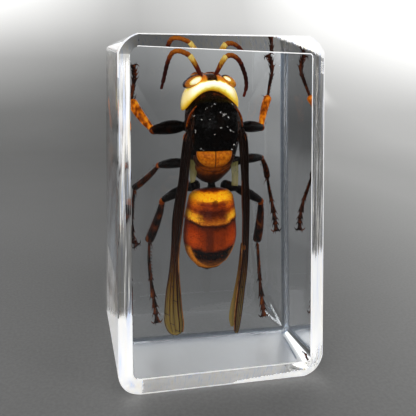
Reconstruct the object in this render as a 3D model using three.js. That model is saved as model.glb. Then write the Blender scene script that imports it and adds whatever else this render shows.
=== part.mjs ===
// Clear cast-resin block made to hold one mounted insect.
// Millimetres, +Z up. The viewing face looks towards -Y and the block stands
// on Z = 0, centred on the Z axis. The solid is one convex casting: a stack of
// four-sided sections with cut corners, whose hull gives the flat faces, the
// broad ground chamfer round the viewing face and the narrow one round the back.
import * as THREE from "three";
import { ConvexGeometry } from "three/addons/geometries/ConvexGeometry.js";

// Overall size of the casting
const BLOCK_WIDTH = 45.5;
const BLOCK_HEIGHT = 75;
const BLOCK_DEPTH = 38;

// Chamfer round the viewing face: how deep it runs, and how far it draws each
// corner of the face in from the corner of the block, sideways and up or down.
// Corners are listed as bottom right, top right, top left, bottom left.
const FRONT_CHAMFER_DEPTH = 2.2;
const FACE_INSETS = [[4.0, 4.6], [4.0, 4.1], [2.3, 2.75], [2.95, 4.6]];

// Narrow chamfer round the back face, the same on all four sides
const BACK_CHAMFER = 1.05;
const BACK_BULGE = 0.3;

// How far each corner is cut back along its two sides: on the viewing face, on
// the front outline and on the back outline
const FACE_CUTS = [0.8, 0.4, 1.7, 1.5];
const FRONT_CUTS = [4.6, 3.8, 4.3, 4.9];
const BACK_CUTS = [1.6, 1.6, 1.6, 1.6];

// 0 is a straight cut across the corner, about 0.83 a true round
const CORNER_ROUNDNESS = [0.6, 0.35, 0.5, 0.83];
const POINTS_PER_CORNER = 7;

const FRONT_Y = -BLOCK_DEPTH / 2;
const BACK_Y = BLOCK_DEPTH / 2;

const clearResin = new THREE.MeshStandardMaterial({
  color: 0xe6ecee,
  roughness: 0.04,
  metalness: 0,
  transparent: true,
  opacity: 0.3,
});

// The four corners, each drawn in by its own sideways and upright inset
function corners(insets) {
  const half = BLOCK_WIDTH / 2;
  return [
    new THREE.Vector2(half - insets[0][0], insets[0][1]),
    new THREE.Vector2(half - insets[1][0], BLOCK_HEIGHT - insets[1][1]),
    new THREE.Vector2(-half + insets[2][0], BLOCK_HEIGHT - insets[2][1]),
    new THREE.Vector2(-half + insets[3][0], insets[3][1]),
  ];
}

function evenInsets(width) {
  return [0, 1, 2, 3].map(() => [width, width]);
}

// The point on the way from one corner to another, a distance past the first
function along(from, to, distance) {
  return from.clone().lerp(to, distance / from.distanceTo(to));
}

// One four-sided outline at depth y, its corners cut back and rounded
function section(y, insets, cuts) {
  const turns = corners(insets);
  const outline = new THREE.Shape();
  turns.forEach((corner, i) => {
    const start = along(corner, turns[(i + 3) % 4], cuts[i]);
    const end = along(corner, turns[(i + 1) % 4], cuts[i]);
    const pull = start.clone().lerp(end, 0.5).lerp(corner, CORNER_ROUNDNESS[i]);
    if (i === 0) {
      outline.moveTo(start.x, start.y);
    } else {
      outline.lineTo(start.x, start.y);
    }
    outline.quadraticCurveTo(pull.x, pull.y, end.x, end.y);
  });
  const points = outline.getPoints(POINTS_PER_CORNER);
  return points.map((point) => new THREE.Vector3(point.x, y, point.y));
}

function resinBlock() {
  const sections = [
    section(FRONT_Y, FACE_INSETS, FACE_CUTS),
    section(FRONT_Y + FRONT_CHAMFER_DEPTH, evenInsets(0), FRONT_CUTS),
    section(BACK_Y - BACK_CHAMFER, evenInsets(0), BACK_CUTS),
    section(BACK_Y - BACK_BULGE, evenInsets(BACK_BULGE), BACK_CUTS),
    section(BACK_Y, evenInsets(BACK_CHAMFER), BACK_CUTS),
  ];
  const block = new THREE.Mesh(new ConvexGeometry(sections.flat()), clearResin);
  block.name = "resin_block";
  return block;
}

const specimenBlock = new THREE.Group();
specimenBlock.add(resinBlock());

export default specimenBlock;
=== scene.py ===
import math
import random

import bpy
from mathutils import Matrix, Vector, noise


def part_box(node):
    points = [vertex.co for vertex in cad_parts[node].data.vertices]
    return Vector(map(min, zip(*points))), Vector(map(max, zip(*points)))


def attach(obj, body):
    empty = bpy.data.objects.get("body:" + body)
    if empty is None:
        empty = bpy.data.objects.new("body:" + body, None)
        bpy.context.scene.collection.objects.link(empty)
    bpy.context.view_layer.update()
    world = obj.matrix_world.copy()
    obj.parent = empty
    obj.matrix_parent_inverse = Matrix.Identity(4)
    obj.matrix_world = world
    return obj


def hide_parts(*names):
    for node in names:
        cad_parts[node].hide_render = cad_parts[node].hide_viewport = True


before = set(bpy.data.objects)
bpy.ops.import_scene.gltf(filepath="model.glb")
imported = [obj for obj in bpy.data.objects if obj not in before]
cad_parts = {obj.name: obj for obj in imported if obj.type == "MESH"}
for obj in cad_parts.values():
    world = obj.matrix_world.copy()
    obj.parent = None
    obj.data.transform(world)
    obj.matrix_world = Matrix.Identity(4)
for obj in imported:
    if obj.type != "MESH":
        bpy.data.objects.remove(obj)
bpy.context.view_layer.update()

MM = 0.001
TAU = 2 * math.pi
random.seed(7)

# ---------------------------------------------------------------- block sizes
BLOCK_LOW, BLOCK_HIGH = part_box("resin_block")
BLOCK_WIDTH = (BLOCK_HIGH[0] - BLOCK_LOW[0]) / MM
BLOCK_DEPTH = (BLOCK_HIGH[1] - BLOCK_LOW[1]) / MM
BLOCK_HEIGHT = (BLOCK_HIGH[2] - BLOCK_LOW[2]) / MM
FRONT_Y = -BLOCK_DEPTH / 2
BACK_Y = BLOCK_DEPTH / 2
FRONT_CHAMFER_DEPTH = 2.2
CREASE_WIDTH = 0.025
BACK_CHAMFER = 1.05
# corners in the order bottom right, top right, top left, bottom left
VIEWING_CORNERS = [(18.75, 4.6), (18.75, 70.9), (-20.45, 72.25), (-19.8, 4.6)]
OUTER_CUTS = (4.6, 3.8, 4.3, 4.9)
VIEWING_CUTS = (0.8, 0.4, 1.7, 1.5)
CORNER_ROUNDNESS = (0.6, 0.35, 0.5, 0.83)
BACK_CUT = 1.6

# ---------------------------------------------------------------- camera
CAMERA_PLACE = (-31.4, -117.0, 65.7)
CAMERA_YAW = 10.14
CAMERA_PITCH = -1.2
CAMERA_LENS = 42.67
CAMERA_SHIFT = (0.110, -0.287)


# ================================================================ mesh tools
def solid(name, points, faces, material, body="root", slot="dark_cuticle", smooth=True):
    """A finished piece from points in millimetres."""
    mesh = bpy.data.meshes.new(name)
    mesh.from_pydata([(x * MM, y * MM, z * MM) for x, y, z in points], [], faces)
    mesh.validate()
    mesh.update()
    for polygon in mesh.polygons:
        polygon.use_smooth = smooth
    piece = bpy.data.objects.new(name, mesh)
    bpy.context.collection.objects.link(piece)
    mesh.materials.append(material)
    if body:
        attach(piece, body)
    return piece


def loft(rings):
    """Points and faces of a closed skin over a list of equal rings."""
    count = len(rings[0])
    points = [tuple(p) for ring in rings for p in ring]
    faces = []
    for i in range(len(rings) - 1):
        low, high = i * count, (i + 1) * count
        for j in range(count):
            k = (j + 1) % count
            faces.append((low + j, low + k, high + k, high + j))
    for ring, flip in ((0, True), (len(rings) - 1, False)):
        centre = sum((Vector(p) for p in rings[ring]), Vector()) / count
        points.append(tuple(centre))
        hub = len(points) - 1
        start = ring * count
        for j in range(count):
            k = (j + 1) % count
            faces.append((start + k, start + j, hub) if flip else (start + j, start + k, hub))
    return points, faces


def join(parts):
    """One set of points and faces from several."""
    points, faces = [], []
    for more_points, more_faces in parts:
        base = len(points)
        points.extend(more_points)
        faces.extend(tuple(i + base for i in face) for face in more_faces)
    return points, faces


def smooth_row(rows, steps):
    """Catmull-Rom through rows of equal length, with steps spans between two rows."""
    out = []
    last = len(rows) - 1
    for i in range(last):
        a, b = rows[max(i - 1, 0)], rows[i]
        c, d = rows[i + 1], rows[min(i + 2, last)]
        for s in range(steps):
            t = s / steps
            out.append(tuple(
                0.5 * (2 * q + (r - p) * t + (2 * p - 5 * q + 4 * r - w) * t * t
                       + (3 * q - p - 3 * r + w) * t ** 3)
                for p, q, r, w in zip(a, b, c, d)))
    out.append(tuple(rows[last]))
    return out


def blend(a, b, t):
    return a + (b - a) * t


def blend_points(a, b, t):
    """Blends two points or rows, value by value."""
    return tuple(blend(p, q, t) for p, q in zip(a, b))


def signed_power(value, power):
    return math.copysign(abs(value) ** power, value)


# How square a body section is: 2 is an ellipse
FULLNESS = 2.2


def body_ring(z, x, half_width, dorsal, ventral, fullness=FULLNESS, count=56):
    """One level cross-section of the body: dorsal is its -Y side."""
    middle, half_depth = (dorsal + ventral) / 2, (ventral - dorsal) / 2
    ring = []
    for i in range(count):
        angle = TAU * i / count
        ring.append((x + half_width * signed_power(math.cos(angle), 2 / fullness),
                     middle + half_depth * signed_power(math.sin(angle), 2 / fullness), z))
    return ring


def section_at(stations, height):
    """The body section at any height, or None beyond the stations."""
    for upper, lower in zip(stations, stations[1:]):
        if lower[0] <= height <= upper[0]:
            return blend_points(upper, lower, (upper[0] - height) / (upper[0] - lower[0]))
    return None


def circle(centre, side, up, size, sides):
    """A ring of points about a centre, in the plane of side and up."""
    turns = [TAU * k / sides for k in range(sides)]
    return [tuple(centre + (side * math.cos(turn) + up * math.sin(turn)) * size) for turn in turns]


def tube(path, radii, sides=14, steps=5, flatten=1.0):
    """A smooth tapered limb along a path, with rounded ends."""
    rows = smooth_row([(*p, r) for p, r in zip(path, radii)], steps)
    centres = [Vector(row[:3]) for row in rows]
    sizes = [row[3] for row in rows]
    last = len(rows) - 1
    forward = [(centres[min(i + 1, last)] - centres[max(i - 1, 0)]).normalized()
               for i in range(len(rows))]

    def cap(end, sign, turns):
        """Stations that round off one end."""
        stations = []
        for turn in turns:
            beyond = sizes[end] * math.sin(math.radians(turn)) * 0.7 * sign
            stations.append((centres[end] + forward[end] * beyond, forward[end],
                             sizes[end] * math.cos(math.radians(turn))))
        return stations

    stations = [*cap(0, -1, (80, 55, 30)), *zip(centres, forward, sizes), *cap(last, 1, (30, 55, 80))]
    side = forward[0].cross(Vector((0, 1, 0)))
    if side.length < 0.1:
        side = forward[0].cross(Vector((1, 0.3, 0)))
    rings = []
    for centre, ahead, size in stations:
        side = (side - ahead * side.dot(ahead)).normalized()
        rings.append(circle(centre, side, ahead.cross(side) * flatten, size, sides))
    return loft(rings)


def across_from(ahead):
    """Two directions square to the one ahead."""
    side = ahead.orthogonal().normalized()
    return side, ahead.cross(side)


def spine(root, tip, radius, sides=5, bend=(0, 0, 0)):
    """A thin tapered bristle from root to tip."""
    root, tip = Vector(root), Vector(tip)
    middle = (root + tip) / 2 + Vector(bend)
    side, up = across_from((tip - root).normalized())
    stations = ((root, radius), (middle, radius * 0.7), (tip, radius * 0.12))
    return loft([circle(centre, side, up, size, sides) for centre, size in stations])


def ball(centre, radii, rows=28, columns=40, shape=None):
    """An ellipsoid, with an optional function that reshapes its unit sphere."""
    rings = []
    for i in range(1, rows):
        polar = math.pi * i / rows
        ring = []
        for j in range(columns):
            turn = -TAU * j / columns
            unit = (math.sin(polar) * math.cos(turn), math.sin(polar) * math.sin(turn),
                    math.cos(polar))
            if shape:
                ring.append(shape(unit))
            else:
                ring.append(tuple(c + r * u for c, r, u in zip(centre, radii, unit)))
        rings.append(ring)
    return loft(rings)


# ================================================================ materials
RESIN_IOR = 1.54
SCUFFED_TRANSMISSION = 0.28
# Colour of the painted glow on the scuffed and worn resin
GLARE = (1, 0.99, 0.97)
WHITE = (1.0, 1.0, 1.0)
NOISE_ROUGHNESS = 0.55


class Field:
    """A shader value. Plain arithmetic on it makes math nodes."""

    def __init__(self, shader, socket):
        self.shader, self.socket = shader, socket

    def __add__(self, other):
        return self.shader.math("ADD", self, other)

    def __sub__(self, other):
        return self.shader.math("SUBTRACT", self, other)

    def __rsub__(self, other):
        return self.shader.math("SUBTRACT", other, self)

    def __mul__(self, other):
        return self.shader.math("MULTIPLY", self, other)

    def __truediv__(self, other):
        return self.shader.math("DIVIDE", self, other)

    def __abs__(self):
        return self.shader.math("ABSOLUTE", self)

    def span(self, low, high, to_low=0.0, to_high=1.0, kind="SMOOTHSTEP"):
        """Maps low..high smoothly to to_low..to_high, clamped."""
        made = self.shader.node("ShaderNodeMapRange", {"Value": self, "From Min": low, "From Max": high,
                                                       "To Min": to_low, "To Max": to_high},
                                interpolation_type=kind)
        return Field(self.shader, made.outputs["Result"])

    def even(self, low, high):
        """Maps low..high evenly to 0..1, clamped."""
        return self.span(low, high, kind="LINEAR")

    def ramp(self, stops):
        """Colours by this value, from pairs of position and colour."""
        made = self.shader.node("ShaderNodeValToRGB", {"Fac": self})
        elements = made.color_ramp.elements
        while len(elements) > 1:
            elements.remove(elements[-1])
        elements[0].position, elements[0].color = stops[0][0], (*stops[0][1], 1)
        for position, color in stops[1:]:
            elements.new(position).color = (*color, 1)
        return Field(self.shader, made.outputs["Color"])


class Shader:
    """A principled material on object coordinates in millimetres."""

    def __init__(self, name):
        self.material = bpy.data.materials.new(name)
        self.material.use_nodes = True
        self.tree = self.material.node_tree
        self.main = self.tree.nodes["Principled BSDF"].inputs
        self.output = self.tree.nodes["Material Output"].inputs
        place = self.node("ShaderNodeTexCoord").outputs["Object"]
        scaled = self.node("ShaderNodeVectorMath", {0: place, "Scale": 1 / MM}, operation="SCALE")
        self.place = scaled.outputs[0]
        split = self.node("ShaderNodeSeparateXYZ", {0: self.place})
        self.x, self.y, self.z = (Field(self, output) for output in split.outputs)

    def node(self, kind, inputs=None, **settings):
        made = self.tree.nodes.new(kind)
        for name, value in settings.items():
            setattr(made, name, value)
        for key, value in (inputs or {}).items():
            self.put(made.inputs[key], value)
        return made

    def put(self, socket, value):
        """Links a field or an output, or sets a plain value."""
        value = getattr(value, "socket", value)
        if isinstance(value, bpy.types.NodeSocket):
            self.tree.links.new(value, socket)
        else:
            socket.default_value = (*value, 1) if socket.type == "RGBA" else value

    def math(self, operation, a, b=0.0):
        return Field(self, self.node("ShaderNodeMath", {0: a, 1: b}, operation=operation).outputs[0])

    def extreme(self, operation, fields):
        """The MAXIMUM or MINIMUM of several fields."""
        best = fields[0]
        for field in fields[1:]:
            best = self.math(operation, best, field)
        return best

    def noise(self, scale, detail=3, stretch=(1, 1, 1)):
        """Noise from 0 to 1 with about scale spots per millimetre."""
        stretched = self.node("ShaderNodeVectorMath", {0: self.place, 1: stretch}, operation="MULTIPLY")
        made = self.node("ShaderNodeTexNoise", {"Vector": stretched.outputs[0], "Scale": scale,
                                                "Detail": detail, "Roughness": NOISE_ROUGHNESS})
        return Field(self, made.outputs["Fac"])

    def wobble(self, size, *pattern, **options):
        """Noise about zero, size from end to end."""
        return (self.noise(*pattern, **options) - 0.5) * size

    def uneven(self, low, high, scale=3, detail=3):
        """A roughness that varies in patches."""
        return self.noise(scale, detail).span(0.3, 0.7, low, high)

    def mix(self, factor, a, b, blend="MIX"):
        made = self.node("ShaderNodeMix", {"Factor": factor}, data_type="RGBA", blend_type=blend)
        self.put(made.inputs[6], a)
        self.put(made.inputs[7], b)
        return Field(self, made.outputs[2])

    def bump(self, height, strength, distance):
        made = self.node("ShaderNodeBump", {"Strength": strength, "Distance": distance * MM,
                                            "Height": height})
        self.put(self.main["Normal"], made.outputs["Normal"])

    def glow(self, color, strength):
        self.put(self.main["Emission Color"], color)
        self.put(self.main["Emission Strength"], strength)

    def finish(self, color, roughness, shine=None, **sockets):
        """Colour, roughness, specular level and other sockets of the finished material."""
        self.put(self.main["Base Color"], color)
        self.put(self.main["Roughness"], roughness)
        if shine is not None:
            self.put(self.main["Specular IOR Level"], shine)
        for name, value in sockets.items():
            self.put(self.main[name.replace("_", " ")], value)
        return self.material


# ---------------------------------------------------------------- resin
def resin_material():
    """Clear casting resin, faintly cool: polished, rippled on its left side, ground beneath."""
    shader = Shader("clear_resin")
    polish = shader.noise(0.35, 5).span(0.45, 0.8, 0.0, 0.01)
    ground = shader.math("LESS_THAN", shader.z, 0.01) * 0.42
    left_side = shader.x.span(0.35 - BLOCK_WIDTH / 2, 0.05 - BLOCK_WIDTH / 2)
    shader.bump(shader.noise(1.5, 4, (1, 1, 0.08)) * left_side, 0.8, 0.26)
    shader.finish(WHITE, polish + ground, Transmission_Weight=1.0, IOR=RESIN_IOR)
    volume = shader.node("ShaderNodeVolumeAbsorption", {"Color": (0.80, 0.88, 0.96), "Density": 8.0})
    shader.put(shader.output["Volume"], volume.outputs[0])
    return shader.material


def scuffed_glowing_resin():
    """Finely scuffed resin on the hand-dressed edges: frosted, streaky and nearly white, with a painted glow
    that shows them as thin bright lines.
    """
    shader = Shader("scuffed_glowing_resin")
    streaks = shader.noise(0.5, 4, (0.5, 1.5, 0.5))
    tone = streaks.ramp([(0.33, (0.72, 0.76, 0.88)), (0.45, (0.98, 0.98, 1.0)), (0.7, (1.0, 0.99, 0.95))])
    shader.bump(streaks, 0.4, 0.1)
    # Painted glow: the scuffed edges and creases shine as bright lines under any light
    shader.glow(GLARE, 0.22)
    return shader.finish(tone, shader.uneven(0.3, 0.55, 0.6, 4), IOR=RESIN_IOR,
                         Transmission_Weight=SCUFFED_TRANSMISSION)


def worn_glowing_resin():
    """Chamfer faces: clear, with streaks of fine scuffing that close up towards the corners; the streaks
    also carry a painted glow.
    """
    shader = Shader("worn_glowing_resin")
    x, y, z = shader.x, shader.y, shader.z
    streaks = shader.noise(1.0, 4, (2.2, 1.5, 0.07))
    rises = x - 11.0
    low = z + (y + 18.0) * 0.43
    left = low.span(19, 14, -0.04, 0.6) + z.span(40, 60, 0.0, 0.2) + z.span(68, 72, 0.0, -0.6)
    left = left + x.span(-16, -19, -1.5, 0.0)
    right = z.span(30, 23, -0.06, 0.6) + z.span(50, 66, 0.0, -0.12) + z.span(9, 6, 0.0, -0.5)
    right = right + x.span(17, 18.5, -1.5, 0.0)
    top = (z - 74.6 + rises * 0.42) * 0.6
    bottom = rises * 0.08 - (z - 1.8) + x.span(0, 3, -1.5, 0.0)
    # How far the scuffing, and the painted glow it carries, reaches on each chamfer
    bias = shader.extreme("MAXIMUM", (left, right, top, bottom))
    scuff_and_glow_cover = (streaks + bias).span(0.36, 0.80)
    tone = shader.noise(0.8, 3, (3, 1, 0.10)).ramp(
        [(0.34, (0.60, 0.72, 1.0)), (0.46, WHITE), (0.58, (1.0, 0.99, 0.94)), (0.68, (1.0, 0.90, 0.70))])
    shader.bump(streaks * scuff_and_glow_cover, 0.3, 0.1)
    # Painted glow on the scuffed streaks, brightening the chamfers
    shader.glow(GLARE, scuff_and_glow_cover * 0.24)
    return shader.finish(tone, scuff_and_glow_cover.span(0, 1, 0.01, 0.42), IOR=RESIN_IOR,
                         Transmission_Weight=scuff_and_glow_cover.span(0, 1, 1.0, SCUFFED_TRANSMISSION))


def satin_dimmed_resin():
    """The narrow back chamfer, finely sanded and clearest along the foot; its dark grey is painted shade
    that dims the line it shows.
    """
    shader = Shader("satin_dimmed_resin")
    shader.bump(shader.noise(6, 3), 0.2, 0.03)
    # Dark grey: painted shade over the sanded facets, dimming their line
    tone = shader.noise(0.9, 3).ramp([(0.3, (0.17, 0.176, 0.18)), (0.7, (0.26, 0.266, 0.27))])
    return shader.finish(tone, shader.uneven(0.35, 0.5, 1.2), IOR=RESIN_IOR,
                         Transmission_Weight=shader.z.span(1.3, 2.5, 1.0, 0.62))


# ---------------------------------------------------------------- cuticle
def streaked(name, pattern, stops, wear, relief, shine, glow=None):
    """Cuticle in one streaky range of colours. The pattern is a noise; wear is the roughness's range and
    detail; relief is the bump's scale, detail, strength and depth."""
    shader = Shader(name)
    color = shader.noise(*pattern).ramp(stops)
    # Painted glow in the cuticle's own colours, as on the fore shins
    if glow is not None:
        shader.glow(color, glow)
    shader.bump(shader.noise(*relief[:2]), *relief[2:])
    return shader.finish(color, shader.uneven(*wear[:2], detail=wear[2]), shine)


def brown_cuticle():
    """Dark red-brown cuticle: side plates, eye rims, teeth and body hair."""
    return streaked("brown_cuticle", (0.7, 4),
                    [(0.32, (0.002, 0.001, 0.0005)), (0.52, (0.010, 0.003, 0.001)),
                     (0.66, (0.07, 0.014, 0.003)), (0.82, (0.24, 0.065, 0.010))],
                    (0.18, 0.38, 3), (3, 4, 0.5, 0.12), 0.04)


def limb_cuticle():
    """Black femora, warming to dark red-brown in streaks."""
    return streaked("limb_cuticle", (0.8, 4, (1, 1, 0.6)),
                    [(0.42, (0.0012, 0.0008, 0.0005)), (0.60, (0.005, 0.0018, 0.0008)),
                     (0.8, (0.06, 0.012, 0.003))],
                    (0.2, 0.4, 3), (3.5, 4, 0.5, 0.1), 0.04)


def foot_cuticle():
    """Red-brown shins and feet, streaked black along their length."""
    return streaked("foot_cuticle", (0.9, 4, (1, 1, 0.35)),
                    [(0.36, (0.003, 0.001, 0.0005)), (0.48, (0.025, 0.005, 0.0012)),
                     (0.60, (0.12, 0.021, 0.003)), (0.84, (0.45, 0.12, 0.012))],
                    (0.2, 0.42, 3), (4, 3, 0.4, 0.08), 0.05)


def amber_cuticle(name, glow):
    """Orange cuticle: the fore shins have a faint painted glow, the mouthparts don't."""
    return streaked(name, (0.75, 3, (1.3, 1, 0.7)),
                    [(0.36, (0.14, 0.020, 0.001)), (0.50, (0.50, 0.11, 0.003)),
                     (0.60, (0.80, 0.22, 0.008)), (0.78, (1.0, 0.45, 0.03))],
                    (0.2, 0.4, 3), (3, 4, 0.4, 0.08), 0.06, glow)


def knee_cuticle():
    """Deep orange-red joints."""
    return streaked("knee_cuticle", (1.3, 4),
                    [(0.35, (0.05, 0.008, 0.002)), (0.50, (0.30, 0.045, 0.004)),
                     (0.75, (0.75, 0.20, 0.012))],
                    (0.2, 0.4, 2), (4, 3, 0.4, 0.06), 0.05)


def black_cuticle():
    """Glossy black-brown thorax cuticle, pitted, redder in patches and on its flanks."""
    shader = Shader("black_cuticle")
    patches = shader.noise(0.5, 4).span(0.5, 0.75)
    color = shader.mix(patches, (0.0010, 0.0007, 0.0004), (0.0045, 0.0018, 0.0008))
    flank = abs(shader.x + 0.4).span(4.7, 5.9) * shader.noise(0.9, 4).span(0.40, 0.62)
    color = shader.mix(flank, color, (0.16, 0.045, 0.012))
    shader.bump(shader.noise(1.6, 5), 0.5, 0.2)
    return shader.finish(color, shader.uneven(0.16, 0.34, 2.5), 0.03)


def head_cuticle():
    """Yellow vertex, near white in the middle by a painted highlight and with a painted glow on the side
    facing the lamps, gold along its edges partly by its colour and partly by painted shade, orange by the
    antennae, black ocellar spot.
    """
    shader = Shader("head_cuticle")
    across = shader.x - HEAD_X
    spread = across * across
    above = shader.z - 62.75 + spread * 0.128 + shader.wobble(0.7, 1.4, 5)
    band = above / (spread * 0.06 + 2.5)
    # Colour rows across the band: its own yellow and orange, near white in the middle by a painted
    # highlight, darkening at the edges partly by painted shade
    rows = band.even(-0.2, 2.0).ramp(
        [(0.04, (0.02, 0.004, 0.001)), (0.09, (0.16, 0.045, 0.002)), (0.14, (0.45, 0.19, 0.004)),
         (0.19, (0.68, 0.42, 0.02)), (0.25, (0.84, 0.68, 0.09)), (0.33, (0.98, 0.95, 0.58)),
         (0.40, (1.0, 0.98, 0.80)), (0.50, (1.0, 0.98, 0.76)), (0.535, (0.90, 0.70, 0.14)),
         (0.565, (0.60, 0.26, 0.014)), (0.63, (0.55, 0.17, 0.009)), (0.80, (0.42, 0.09, 0.005)),
         (1.0, (0.05, 0.010, 0.002))])
    # Gold towards the ends and edges: partly the head's colour, partly painted shade where it curves away
    golden = shader.mix(band.span(0.15, 0.7), (0.50, 0.25, 0.008), (0.78, 0.54, 0.06))
    temples = spread.span(12.0, 36.0) * shader.x.span(-6.5, 4, 0.72, 1.0) * band.span(0.02, 0.12)
    color = shader.mix(temples, rows, golden)
    color = shader.mix(shader.y.span(0.0, 3.5), color, (0.45, 0.18, 0.015))
    ocellar = abs(across + 0.25).span(1.4, 0.95) * band.span(0.94, 1.04)
    color = shader.mix(ocellar * 0.97, color, (0.010, 0.003, 0.001))
    # Painted glow, strongest on the side facing the lamps
    shader.glow(color, shader.y.span(-0.5, -4.0) * 0.75)
    shader.bump(shader.noise(5, 4), 0.3, 0.06)
    return shader.finish(color, shader.uneven(0.22, 0.4), 0.08)


def eye_cuticle():
    """Compound eye: amber with a painted highlight and a painted glow, darker towards its rim partly by
    painted shade, with a thin dark outline.
    """
    shader = Shader("eye_cuticle")

    def oval(dx, dz, turn, centre, radii):
        """How far out a point lies in a turned oval, 1 at its edge."""
        cos, sin = math.cos(math.radians(turn)), math.sin(math.radians(turn))
        across = (dx * cos + dz * sin - centre[0]) / radii[0]
        along = (dz * cos - dx * sin - centre[1]) / radii[1]
        return across * across + along * along

    rims, patches = [], []
    for _, (offset, _, z), radii, turn, centre, size in EYES:
        dx, dz = shader.x - (HEAD_X + offset), shader.z - z
        rims.append(oval(dx, dz, turn, (0, 0), (radii[0], radii[2])))
        patches.append(oval(dx, dz, turn, centre, size))
    # The light spot on each eye is a painted highlight
    patch = shader.extreme("MINIMUM", patches) + shader.wobble(0.8, 1.4, 4)
    # Amber darkening towards the rim, partly by painted shade, then the thin dark outline
    ground = shader.extreme("MINIMUM", rims).ramp(
        [(0.0, (0.55, 0.22, 0.012)), (0.45, (0.42, 0.13, 0.006)), (0.74, (0.34, 0.09, 0.005)),
         (0.84, (0.10, 0.018, 0.002)), (0.92, (0.012, 0.003, 0.001))])
    mottled = shader.mix(shader.noise(2.0, 4).span(0.56, 0.70), ground, (0.06, 0.012, 0.002))
    pale = shader.mix(patch.span(0.3, 0.9), (1.0, 0.96, 0.70), (0.95, 0.78, 0.22))
    color = shader.mix(patch.span(0.8, 1.3), pale, mottled)
    # Painted glow over the whole eye
    shader.glow(color, 0.6)
    cells = shader.node("ShaderNodeTexVoronoi", {"Scale": 9.0, "Vector": shader.place})
    shader.bump(cells.outputs["Distance"], 0.35, 0.06)
    return shader.finish(color, 0.22, 0.1)


def scape_cuticle():
    """Antenna base: gold on the upper side, partly its colour and partly a painted highlight, dark red
    beneath and by the head, with a faint painted glow.
    """
    shader = Shader("scape_cuticle")
    # Gold higher up: partly its colour, partly a painted highlight
    tone = shader.z.even(66.2, 70.8) + shader.wobble(0.9, 0.9, 3, (1.6, 1, 0.5))
    color = tone.ramp([(0.28, (0.08, 0.008, 0.002)), (0.52, (0.18, 0.025, 0.002)),
                       (0.74, (0.70, 0.34, 0.03)), (0.96, (1.0, 0.72, 0.18))])
    # Faint painted glow
    shader.glow(color, 0.12)
    shader.bump(shader.noise(4, 3), 0.3, 0.05)
    return shader.finish(color, 0.28, 0.08)


def flagellum_cuticle():
    """Ringed whip of the antenna: orange by the elbow, almost black, reddish tip."""
    shader = Shader("flagellum_cuticle")
    tone = shader.z.even(61.0, 72.2) + shader.wobble(0.35, 1.3, 4)
    color = tone.ramp([(0.08, (0.14, 0.018, 0.010)), (0.32, (0.040, 0.005, 0.003)),
                       (0.66, (0.030, 0.004, 0.002)), (0.82, (0.20, 0.026, 0.004)),
                       (0.97, (0.62, 0.17, 0.010))])
    shader.bump(shader.noise(5, 3), 0.4, 0.06)
    return shader.finish(color, 0.3, 0.06)


def scutellum_cuticle():
    """Orange shield, darker along the middle seam and at its rounded rear rim."""
    shader = Shader("scutellum_cuticle")
    base = shader.noise(1.4, 5).ramp([(0.3, (0.45, 0.085, 0.004)), (0.5, (0.85, 0.21, 0.006)),
                                      (0.75, (1.0, 0.38, 0.016))])
    color = shader.mix(shader.z.span(45.2, 47.0), (0.22, 0.035, 0.003), base)
    color = shader.mix(abs(shader.x + 0.5).span(0.03, 0.2), (0.16, 0.030, 0.003), color)
    shader.bump(shader.noise(3, 5), 0.5, 0.16)
    return shader.finish(color, 0.32, 0.05)


def rear_cuticle():
    """Orange-brown metanotum and propodeum, darker at the sides and at the back."""
    shader = Shader("rear_cuticle")
    tone = shader.z.even(42.0, 47.5) + shader.wobble(0.7, 0.9, 4)
    color = tone.ramp([(0.1, (0.015, 0.004, 0.001)), (0.35, (0.045, 0.009, 0.002)),
                       (0.52, (0.20, 0.040, 0.003)), (0.62, (0.34, 0.075, 0.005)),
                       (0.8, (0.10, 0.020, 0.003)), (1.0, (0.02, 0.005, 0.001))])
    color = shader.mix(abs(shader.x + 0.5).span(3.0, 4.6), color, (0.03, 0.008, 0.003))
    shader.bump(shader.noise(3, 4), 0.5, 0.12)
    return shader.finish(color, 0.32, 0.05)


# The gaster's colours by height in mm, down its middle and down its flanks; the bright yellow of the first
# hoop and the brighter flanks are partly their own colour and partly painted light
GASTER_MIDDLE = (
    (40.9, (0.02, 0.005, 0.001)), (40.1, (0.13, 0.014, 0.001)), (39.75, (0.60, 0.14, 0.003)),
    (39.45, (1.0, 0.42, 0.006)), (37.95, (1.0, 0.46, 0.008)), (37.55, (0.38, 0.07, 0.002)),
    (37.05, (0.15, 0.013, 0.001)), (36.65, (0.26, 0.036, 0.001)), (36.15, (0.17, 0.018, 0.001)),
    (35.65, (0.05, 0.006, 0.001)), (34.75, (0.06, 0.008, 0.001)), (34.05, (0.16, 0.028, 0.002)),
    (33.35, (0.30, 0.07, 0.004)), (32.95, (0.42, 0.13, 0.010)), (32.7, (0.2, 0.04, 0.004)),
    (32.45, (0.008, 0.002, 0.001)), (32.05, (0.04, 0.006, 0.001)), (30.9, (0.16, 0.018, 0.001)),
    (29.1, (0.17, 0.020, 0.001)), (27.3, (0.20, 0.024, 0.001)), (26.8, (0.05, 0.007, 0.001)),
    (26.4, (0.002, 0.001, 0.001)), (24.9, (0.002, 0.001, 0.001)), (24.6, (0.03, 0.008, 0.002)),
    (24.2, (0.05, 0.017, 0.004)), (23.6, (0.18, 0.050, 0.006)), (23.1, (0.10, 0.03, 0.004)),
    (22.5, (0.006, 0.002, 0.001)))
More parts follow.
